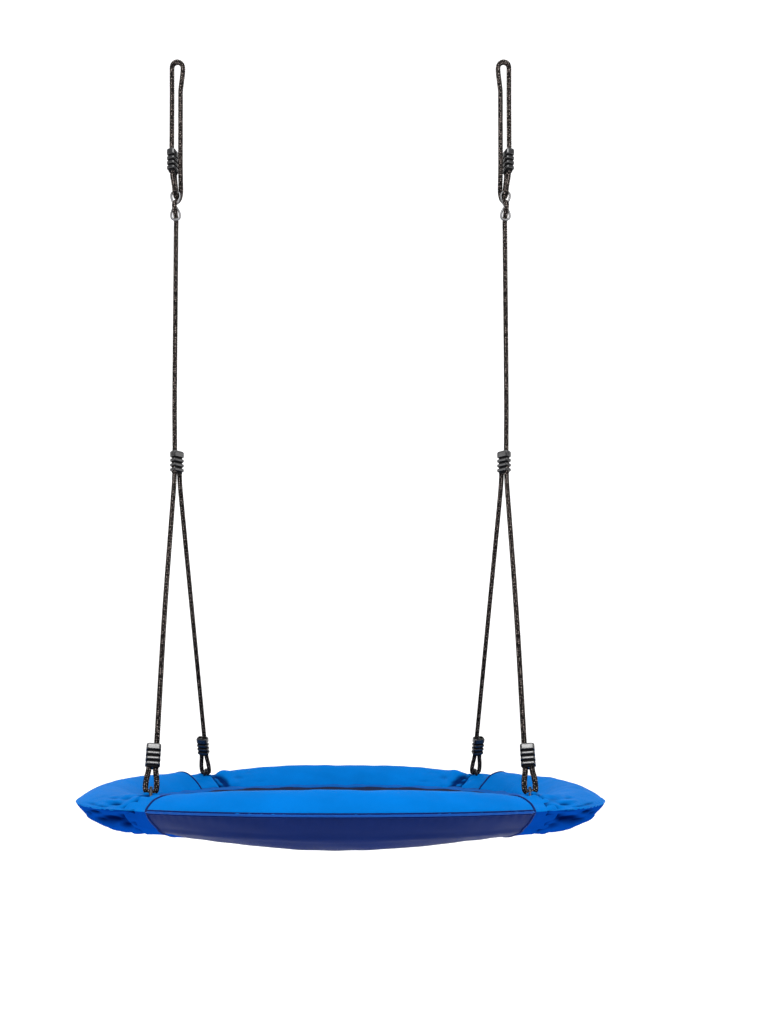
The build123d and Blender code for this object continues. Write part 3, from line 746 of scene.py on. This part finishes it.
def sleeve_row(kind, distance, start, end, styles, inset, seed):
    """One section of a sleeve, at a distance from its start: each point's angle from the front, its radius and
    height, and how much painted shade its colour takes in folds and beside the rope slot, from 0 to 1."""
    length = math.radians(end - start) * PATH_RADIUS
    gaps = distance, length - distance
    middle = start + (end - start) * distance / length
    degrees = np.full(SLEEVE_COLUMNS, middle)
    outer = np.zeros(SLEEVE_COLUMNS)
    if kind == "front":
        centred = 2 * distance / length - 1
        crown = np.clip(np.sin(2 * np.pi * AROUND), 0, 1) ** 1.5
        degrees = degrees + FLAP_REACH * crown * centred * abs(centred) ** 7
    if kind in SIDES:
        front_gap, forwards = (gaps[0], -1) if styles[0] == "gather" else (gaps[1], 1)
        outer = np.clip(np.cos(2 * np.pi * AROUND), 0, 1) ** 1.5
        degrees = degrees + forwards * SLOT_SKEW * outer * math.exp(-front_gap / 0.05)
    slot_gap = min([gap for gap, style in zip(gaps, styles) if style == "gather"] + [1.0])
    forward = within_one((105 - abs(middle)) / 45)
    section = rim_points(degrees, inset, *pad_shape(kind, min(gaps), slot_gap, forward))
    outward = section - TUBE_CENTRE
    outward = outward / np.maximum(np.linalg.norm(outward, axis=1), 1e-6)[:, None]
    swell = section_swell(kind, distance, gaps, styles, seed)
    section = section + outward * swell[:, None]
    neck = 1 / (1 + math.exp((slot_gap - STRAP_NECK) / NECK_EDGE)) if kind == "strap" else 0.0
    # painted shade beside the rope slot and over a strap's drawn-in neck, added to that in the deeper dents
    slot_painted_shade = max(0.8 * neck, 0.9 * near(slot_gap, 0.0055))
    painted_fold_shade = np.clip((-swell - SHADE_FROM) / SHADE_OVER + slot_painted_shade, 0, 1)
    for gap, style in zip(gaps, styles):
        if style == "gather":
            close = NECK_CLOSE * neck if kind == "strap" else (PINCH - OUTER_PINCH * outer) * near(gap, PINCH_REACH)
            section = drawn_in(section, np.broadcast_to(close, SLEEVE_COLUMNS)[:, None])
        elif gap < FLAP_EDGE:
            section = drawn_in(section, 0.02 * (1 - gap / FLAP_EDGE))
    return degrees, section, painted_fold_shade


def closing_rows(row, style, onward):
    """Smaller sections that close a sleeve's end. onward is 1 where the sleeve starts and -1 where it ends."""
    degrees, section, painted_fold_shade = row
    steps = ((0.9, 0.0), (0.7, 0.15)) if style == "flap" else ((0.9, 0.05), (0.7, 0.2), (0.5, 0.5))
    return [(degrees + onward * deep, TUBE_CENTRE + (section - TUBE_CENTRE) * scale, painted_fold_shade) for scale, deep in steps]


def rim_sleeve(name, kind, start, end, styles, inset, seed, nodes, under):
    """A closed sleeve round the rim between two angles. styles says how each end finishes: a hemmed flap or a
    gather at a rope slot."""
    columns = SLEEVE_COLUMNS
    length = math.radians(end - start) * PATH_RADIUS
    distances = np.linspace(0, 1, max(12, int(length / SLEEVE_STEP))) * length
    rows = [sleeve_row(kind, distance, start, end, styles, inset, seed) for distance in distances]
    uv = [np.stack([np.full(columns, distance), AROUND * GIRTH], 1) for distance in distances]
    first = closing_rows(rows[0], styles[0], 1)
    last = closing_rows(rows[-1], styles[1], -1)
    uv = [uv[0]] * len(first) + uv + [uv[-1]] * len(last)
    rows = first[::-1] + rows + last
    points = []
    for degrees, section, _fold in rows:
        turn = np.radians(degrees - 90)
        points += list(np.stack([section[:, 0] * np.cos(turn), section[:, 0] * np.sin(turn), section[:, 1]], 1))
    faces = grid_faces(len(rows), columns)
    marks = [int(column >= columns // 2) for _ in range(len(rows) - 1) for column in range(columns)]
    for row in (0, len(rows) - 1):
        ring = range(row * columns, (row + 1) * columns)
        points.append(tuple(np.mean([points[k] for k in ring], axis=0)))
        uv.append(uv[0][:1])
        fan = [(ring[k], ring[(k + 1) % columns], len(points) - 1) for k in range(columns)]
        faces += [face[::-1] for face in fan] if row == 0 else fan
        marks += [1] * columns
    piece = mesh_piece(name, points, faces, ["blue", under], np.vstack(uv), marks)
    # each point's painted shade, which darkens the cloth's colour
    folds = np.concatenate([painted_fold_shade for _degrees, _section, painted_fold_shade in rows] + [np.zeros(2)]).astype(np.float32)
    piece.data.attributes.new("painted_fold_shade", "FLOAT", "POINT").data.foreach_set("value", folds)
    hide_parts(*nodes)
    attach(piece, "seat")
    rings = [np.array(points[row * columns:(row + 1) * columns]) for row in (len(first), len(rows) - 1 - len(last))]
    for ring, style, label in zip(rings, styles, ("start", "end")):
        if style == "flap" and kind != "strap":
            hem(f"{name}_{label}_hem", ring)


def hem(name, line):
    """The dark bound edge of a pad's flap, which also paints the shadow line that the flap casts: a soft tube round its
    closed line of points.
    """
    tangents = closed_tangents(line)
    outward = line - line.mean(0)
    outward -= tangents * (outward * tangents).sum(1)[:, None]
    outward /= np.linalg.norm(outward, axis=1)[:, None]
    angle = np.arange(HEM_SIDES) / HEM_SIDES * 2 * math.pi
    points = closed_tube(line, HEM_RADIUS, outward, np.cross(tangents, outward), angle)
    uv = [(along, a * HEM_RADIUS) for along in np.linspace(0, GIRTH, len(line)) for a in angle]
    faces = [face[::-1] for face in grid_faces(len(line), HEM_SIDES, closed_rows=True)]
    piece = mesh_piece(name, points, faces, ["binding"], uv)
    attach(piece, "seat")


def seam_tube(name, start, end, lift, outward, radius, made, slot_name):
    """A cord along the outer seam between two angles, moved up and out by lift and outward. Its ends taper."""
    count = int(math.radians(end - start) * PATH_RADIUS / SLEEVE_STEP)
    section = np.linspace(0, 2 * math.pi, 10, endpoint=False)
    base = PATH_RADIUS + HALF_WIDTH + outward
    points, uv = [], []
    for index, degrees in enumerate(np.linspace(start, end, count)):
        turn = math.radians(degrees)
        seam_z = SEAM_Z + SEAM_SWAY * math.cos(2 * turn) + lift
        at = turn - math.pi / 2
        wobble = 0.0004 * math.sin(index * 1.3) + 0.0003 * math.sin(index * 0.37)
        taper = min(1.0, 0.3 + min(index, count - 1 - index) / 3)
        for angle in section:
            r = base + wobble + radius * taper * math.cos(angle)
            points.append((r * math.cos(at), r * math.sin(at), seam_z + radius * taper * math.sin(angle)))
            uv.append((index * SLEEVE_STEP, angle * radius))
    faces = grid_faces(count, len(section))
    for row in (0, count - 1):
        ring = list(range(row * len(section), (row + 1) * len(section)))
        faces.append(ring[::-1] if row == 0 else ring)
    piece = mesh_piece(name, points, faces, [made], uv)
    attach(piece, "seat")
    return piece


def padded_rim():
    """The four padded sections, the four straps beside the rope slots, and the cords along the outer seam."""
    for name, (start, end, styles, seed) in PADS.items():
        nodes = [f"{name}_cover_top", f"{name}_cover_bottom", f"{name}_foam"]
        # the side pads' undersides take the blue darkened as painted shade, and the front and back pads' take the navy
        # cloth
        under = "deep" if name in SIDES else "navy"
        rim_sleeve(f"{name}_pad", name, start, end, styles, 0.0, seed, nodes, under)
    for name, (start, end, styles, seed) in STRAPS.items():
        # the straps' undersides take the same blue, darkened as painted shade
        rim_sleeve(f"{name}_strap", "strap", start, end, styles, STRAP_INSET, seed, [f"{name}_band"], "deep")
    cords = [seam_tube(f"{name}_{label}", start, end, *shape) for name, (start, end, *_rest) in PADS.items()
             for label, *shape in (SIDE_SEAM if name in SIDES else SEAM)]
    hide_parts("outer_piping")


def seat_mat():
    """The shallow woven dish, with its webbing border."""
    edge, edge_z, centre_z = 0.346, 0.0378, 0.0260
    thick = 0.0026
    rings, columns = 64, 180
    rows, uv = [], []
    for side in (1, -1):
        for i in range(rings)[::side]:
            r = edge * max(i, 0.02) / (rings - 1)
            angle = np.arange(columns) / columns * 2 * math.pi
            pull = (r / edge) ** 6
            wave = 0.0009 * pull * np.sin(24 * angle) + 0.0006 * np.sin(5 * angle + 9 * r) * (r / edge)
            z = centre_z + (edge_z - centre_z) * (r / edge) ** 2 + wave + side * thick / 2
            rows.append(np.stack([r * np.cos(angle), r * np.sin(angle), z], 1))
            uv.append(rows[-1][:, :2])
    points = np.vstack(rows)
    faces = grid_faces(len(rows), columns)
    for row, flip in ((0, True), (len(rows) - 1, False)):
        ring = list(range(row * columns, (row + 1) * columns))
        faces.append(ring[::-1] if flip else ring)
    piece = mesh_piece("saucer_mat", points, faces, ["mat"], np.vstack(uv))
    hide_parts("seat_mat")
    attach(piece, "seat")

    rows, uv = [], []
    profile = [(0.342, 0.0386), (0.346, 0.0398), (0.353, 0.0415), (0.3660, 0.0440), (0.3670, 0.0415), (0.354, 0.0385),
               (0.346, 0.0355), (0.342, 0.0350)]
    turns = 360
    for i in range(turns):
        at = 2 * math.pi * i / turns
        ripple = 0.0006 * math.sin(at * 48) + 0.0005 * math.sin(at * 31 + 1)
        rows += [(r * math.cos(at), r * math.sin(at), z + ripple) for r, z in profile]
        uv += [(at * 0.35, k * 0.008) for k in range(len(profile))]
    faces = [face[::-1] for face in grid_faces(turns, len(profile), closed_rows=True)]
    piece = mesh_piece("mat_webbing_border", rows, faces, ["webbing"], uv)
    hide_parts("mat_border")
    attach(piece, "seat")


# ---------------------------------------------------------------- the carried CAD pieces

CARRIED = {"screws": "screw", "ring_tube": "tube", "staples": "staple"}


def finish_cad_nodes():
    """Give the CAD pieces that stay in view, or inside, their own materials."""
    for name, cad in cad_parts.items():
        made = next((made for word, made in CARRIED.items() if word in name), None)
        if made:
            for holder in cad.material_slots:
                holder.material = MATERIALS[made]


# ---------------------------------------------------------------- stage

def stage():
    """A pale floor that curves up into a backdrop, a plain world and four soft lights."""
    floor_z = -0.62
    size = 30.0
    rows = [(-size, floor_z), (3.0, floor_z), (4.2, floor_z + 0.12), (5.2, floor_z + 0.9), (5.6, floor_z + 2.2),
            (5.7, 9.0)]
    points = [(x, y, z) for y, z in rows for x in (-size, size)]
    faces = grid_faces(len(rows), 2, closed_columns=False)
    made = new_material("pale_floor", (0.88, 0.88, 0.885), 0.9, Emission_Color=(1, 1, 1, 1), Emission_Strength=0.55)
    grain = node(made, "ShaderNodeTexNoise", Scale=2.0, Detail=2.0).outputs["Fac"]
    dress(made, Base_Color=ramp(made, grain, [(0.3, (0.87, 0.87, 0.875)), (0.7, (0.9, 0.9, 0.905))]))
    MATERIALS["floor"] = made
    floor = mesh_piece("pale_floor", points, faces, ["floor"])

    world = bpy.data.worlds.new("studio")
    bpy.context.scene.world = world
    world.use_nodes = True
    world.node_tree.nodes["Background"].inputs["Color"].default_value = (1, 1, 1, 1)
    world.node_tree.nodes["Background"].inputs["Strength"].default_value = 0.42

    def area(name, place, target, size, power):
        data = bpy.data.lights.new(name, "AREA")
        data.shape = "RECTANGLE"
        data.size, data.size_y = size
        data.energy = power
        lamp = bpy.data.objects.new(name, data)
        lamp.location = place
        lamp.rotation_euler = (Vector(target) - Vector(place)).to_track_quat("-Z", "Y").to_euler()
        bpy.context.scene.collection.objects.link(lamp)

    area("key_softbox", (0, -1.95, 2.45), (0, -0.05, 0.1), (2.0, 1.0), 78)
    area("top_softbox", (0, 0.5, 3.0), (0, 0, 0), (1.8, 1.8), 28)
    area("left_softbox", (-2.4, -0.9, 0.9), (0, 0, 0.5), (0.8, 2.4), 16)
    area("right_softbox", (2.4, -0.9, 0.9), (0, 0, 0.5), (0.8, 2.4), 16)


def camera():
    """A level view from the front, just over the rim, with the frame shifted up and to the side."""
    data = bpy.data.cameras.new("camera")
    data.lens = 33.32
    data.sensor_width = 36
    data.shift_x = 0.039
    data.shift_y = 0.2117
    eye = bpy.data.objects.new("camera", data)
    eye.location = (0, -1.751, 0.186)
    eye.rotation_euler = (math.radians(90), 0, 0)
    bpy.context.scene.collection.objects.link(eye)
    bpy.context.scene.camera = eye


camera()
stage()
for side_name, side_sign in SIDES.items():
    hang_ropes(side_name, side_sign)
    ring_eye(side_name, side_sign)
    height_ring(side_name, side_sign)
    side_clamps(side_name, side_sign)
    for leg_end in (-1, 1):
        leg_rope(side_name, side_sign, leg_end)
padded_rim()
seat_mat()
finish_cad_nodes()
bpy.context.scene.view_settings.view_transform = "Standard"
